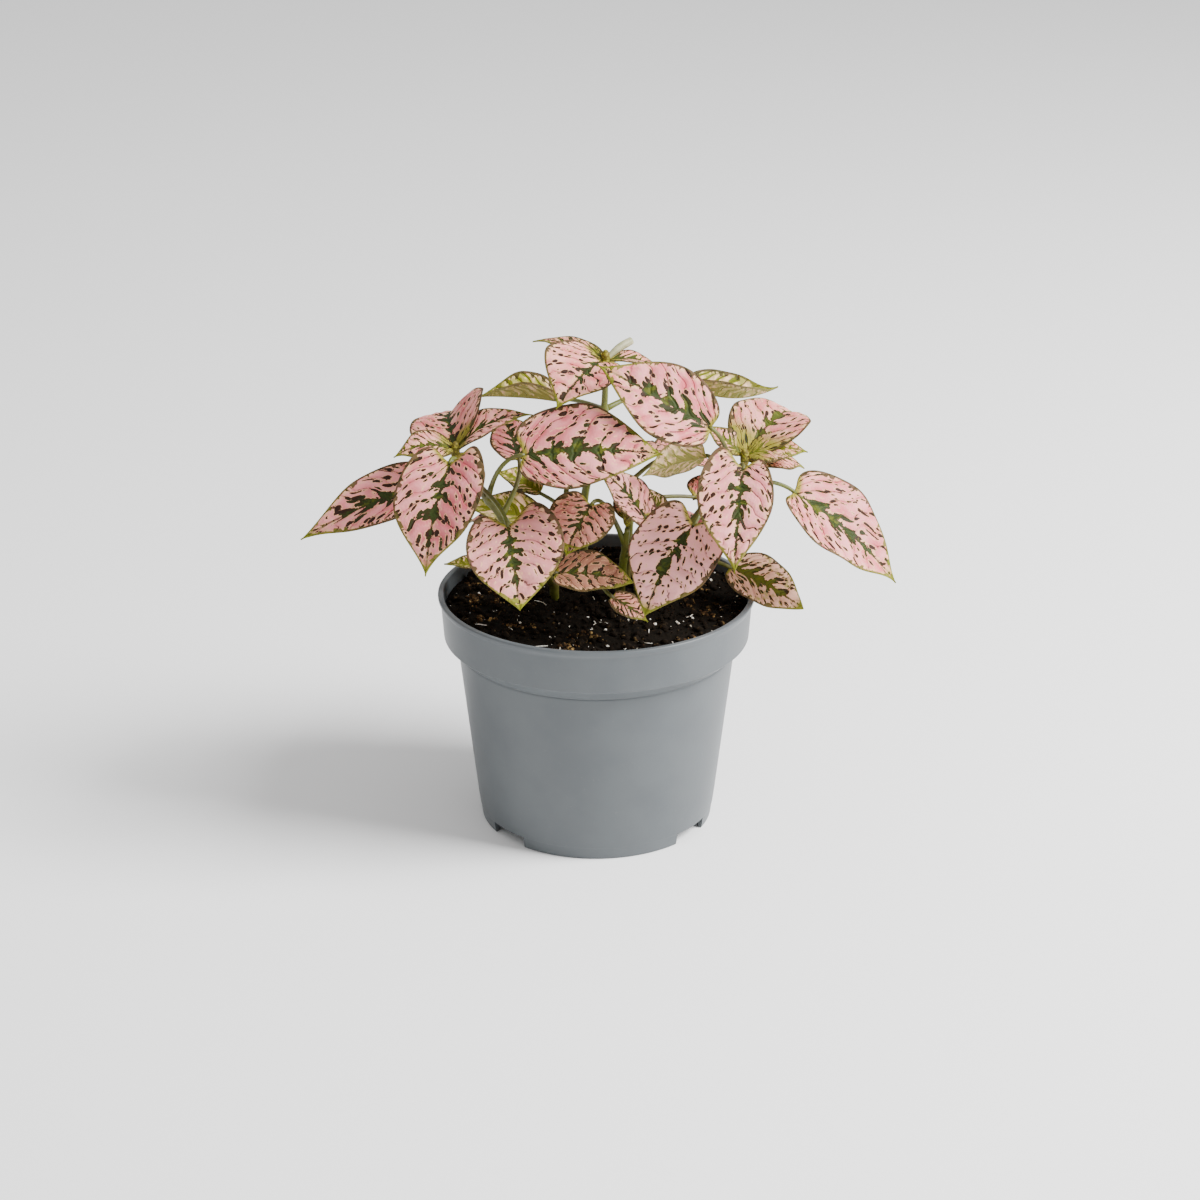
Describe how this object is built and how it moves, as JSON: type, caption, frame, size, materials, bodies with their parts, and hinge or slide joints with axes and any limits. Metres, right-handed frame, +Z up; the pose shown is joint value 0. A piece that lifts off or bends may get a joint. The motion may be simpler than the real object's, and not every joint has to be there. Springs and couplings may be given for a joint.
{
  "type": "potted polka dot plant",
  "caption": "Potted polka dot plant: pink leaves with dark green spots on branching stems, in dark soil in a round grey nursery pot.",
  "frame": {"origin": "centre of the pot's foot, on the surface that the pot stands on", "axes": "+Z up along the pot's axis; -Y is the front of the plant; +X is to its right seen from the front"},
  "size_m": [0.1937, 0.116, 0.1674],
  "materials": {
    "pot_plastic": "satin mid-grey injection-moulded plastic",
    "soil_peat": "moist near-black peat with pale grains",
    "stem_green": "olive green, slightly ridged stem",
    "leaf_pink": "soft pink blade with dark green spots, satin",
    "leaf_green": "greener blade, shaded or seen from below",
    "leaf_young": "young pink blade, yellow-green at its root"
  },
  "bodies": {
    "root": {"pot": "pot_plastic", "soil": "soil_peat", "stem_crown": "stem_green", "stem_left": "stem_green", "stem_right": "stem_green", "stem_front": "stem_green", "stem_back_left": "stem_green", "stem_back_right": "stem_green", "leaf_crown_right": "leaf_green", "leaf_crown_left": "leaf_green", "leaf_left_front": "leaf_pink", "leaf_left_outer": "leaf_pink", "leaf_left_heart": "leaf_pink", "leaf_left_broad": "leaf_pink", "leaf_left_inner": "leaf_pink", "leaf_left_low": "leaf_pink", "leaf_right_front": "leaf_pink", "leaf_right_outer": "leaf_pink", "leaf_right_high": "leaf_pink", "leaf_right_under": "leaf_green", "leaf_right_heart": "leaf_pink", "leaf_right_inner": "leaf_green", "leaf_front_left": "leaf_pink", "leaf_front_right": "leaf_pink", "leaf_front_low": "leaf_pink", "leaf_back_left_upper": "leaf_green", "leaf_back_left_lower": "leaf_green", "leaf_back_left_back": "leaf_pink", "leaf_back_left_outer": "leaf_pink", "leaf_back_left_side": "leaf_green", "leaf_back_right_upper": "leaf_pink", "leaf_back_right_outer": "leaf_pink", "leaf_back_right_back": "leaf_pink", "leaf_back_right_lower": "leaf_pink", "leaf_back_right_side": "leaf_green", "tip_crown": "leaf_young", "tip_left": "leaf_young", "tip_right": "leaf_young", "tip_front": "leaf_young", "tip_back_left": "leaf_young", "tip_back_right": "leaf_young"}
  },
  "joints": []
}
